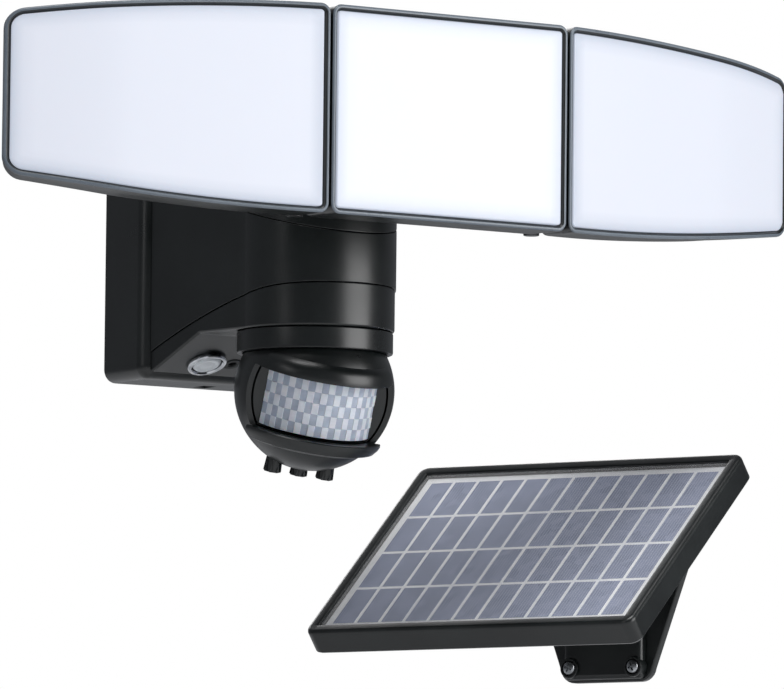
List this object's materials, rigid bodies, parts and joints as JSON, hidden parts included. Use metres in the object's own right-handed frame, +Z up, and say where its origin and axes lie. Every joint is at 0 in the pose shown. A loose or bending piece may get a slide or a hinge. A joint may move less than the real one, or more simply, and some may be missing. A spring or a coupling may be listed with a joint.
{
  "type": "solar flood light",
  "caption": "Wall flood light with a folding panel head, a motion sensor ball and a separate tilting solar panel on its own bracket.",
  "frame": {"origin": "centre of the wall box's back face, on the wall plane", "axes": "+Y out of the back into the wall, so the lamp faces -Y; +X to the right seen from the front; +Z up"},
  "size_m": [0.421, 0.213, 0.2845],
  "materials": {
    "black_plastic": "satin moulded",
    "grey_rim": "satin",
    "milky_diffuser": "opal satin",
    "lamp_board": "white solder mask",
    "zinc_steel": "zinc plated",
    "battery_sleeve": "shrink sleeve",
    "circuit_board": "solder mask",
    "bright_ring": "polished",
    "pale_button": "glossy",
    "sensor_lens": "ribbed translucent",
    "solar_glass": "clear flat",
    "solar_cell": "blue crystalline"
  },
  "bodies": {
    "fixture": {"wall_box": "black_plastic", "wall_plate": "zinc_steel", "wall_screw_1": "zinc_steel", "wall_screw_2": "zinc_steel", "wall_screw_3": "zinc_steel", "wall_screw_4": "zinc_steel", "arm_upper": "black_plastic", "arm_lower": "black_plastic", "top_cover": "black_plastic", "battery_tray": "black_plastic", "battery_cell_1": "battery_sleeve", "battery_cell_2": "battery_sleeve", "battery_cell_3": "battery_sleeve", "main_board": "circuit_board", "button_ring": "bright_ring", "lead_socket": "black_plastic", "head_arm": "black_plastic", "wall_bracket": "black_plastic", "bracket_screw_left": "zinc_steel", "bracket_screw_right": "zinc_steel", "solar_bolt": "zinc_steel"},
    "push_button": {"button_cap": "pale_button"},
    "head": {"centre_housing": "black_plastic", "centre_bezel": "grey_rim", "centre_diffuser": "milky_diffuser", "centre_lamp_board": "lamp_board", "tilt_bolt": "zinc_steel", "left_hinge_pin": "zinc_steel", "right_hinge_pin": "zinc_steel"},
    "left_wing": {"left_housing": "black_plastic", "left_bezel": "grey_rim", "left_diffuser": "milky_diffuser", "left_lamp_board": "lamp_board"},
    "right_wing": {"right_housing": "black_plastic", "right_bezel": "grey_rim", "right_diffuser": "milky_diffuser", "right_lamp_board": "lamp_board"},
    "collar": {"sensor_collar": "black_plastic", "sensor_yoke": "black_plastic"},
    "ball": {"ball_shell": "black_plastic", "lens_frame": "black_plastic", "sensor_lens": "sensor_lens", "sensor_board": "circuit_board", "heat_detector": "zinc_steel", "ball_carrier": "black_plastic"},
    "range_dial": {"range_knob": "black_plastic"},
    "time_dial": {"time_knob": "black_plastic"},
    "dusk_dial": {"dusk_knob": "black_plastic"},
    "solar_head": {"solar_frame": "black_plastic", "solar_glass": "solar_glass", "cell_sheet": "solar_cell", "solar_back": "black_plastic", "junction_box": "black_plastic", "cable_gland": "black_plastic"}
  },
  "joints": [
    {"name": "head_tilt", "type": "hinge", "parent": "fixture", "child": "head", "pos_m": [0, -0.172, 0.0465], "axis": [1, 0, 0], "range_deg": [-25, 30]},
    {"name": "left_fold", "type": "hinge", "parent": "head", "child": "left_wing", "pos_m": [-0.0634, -0.184, 0.0465], "axis": [0, 0, -1], "range_deg": [0, 25]},
    {"name": "right_fold", "type": "hinge", "parent": "head", "child": "right_wing", "pos_m": [0.0634, -0.184, 0.0465], "axis": [0, 0, 1], "range_deg": [0, 25]},
    {"name": "sensor_pan", "type": "hinge", "parent": "fixture", "child": "collar", "pos_m": [0, -0.104, -0.0675], "axis": [0, 0, 1], "range_deg": [-58.5, 101.5]},
    {"name": "sensor_tilt", "type": "hinge", "parent": "collar", "child": "ball", "pos_m": [0, -0.104, -0.0675], "axis": [0.9365, -0.3306, -0.1165], "range_deg": [-3, 10]},
    {"name": "button_press", "type": "slide", "parent": "fixture", "child": "push_button", "axis": [0, 0.4191, 0.908], "range_m": [0, 0.0015], "stiffness_N_per_m": 300, "springref_m": -0.0005},
    {"name": "solar_tilt", "type": "hinge", "parent": "fixture", "child": "solar_head", "pos_m": [0.13505, -0.10011, -0.1382], "axis": [0.3803, -0.9249, 0], "range_deg": [-22, 35]},
    {"name": "range_turn", "type": "hinge", "parent": "ball", "child": "range_dial", "pos_m": [-0.01168, -0.08864, -0.10025], "axis": [0.007, -0.3147, 0.9492], "range_deg": [-135, 135]},
    {"name": "time_turn", "type": "hinge", "parent": "ball", "child": "time_dial", "pos_m": [-0.00025, -0.09267, -0.10167], "axis": [0.007, -0.3147, 0.9492], "range_deg": [-135, 135]},
    {"name": "dusk_turn", "type": "hinge", "parent": "ball", "child": "dusk_dial", "pos_m": [0.01117, -0.09671, -0.10309], "axis": [0.007, -0.3147, 0.9492], "range_deg": [-135, 135]}
  ]
}
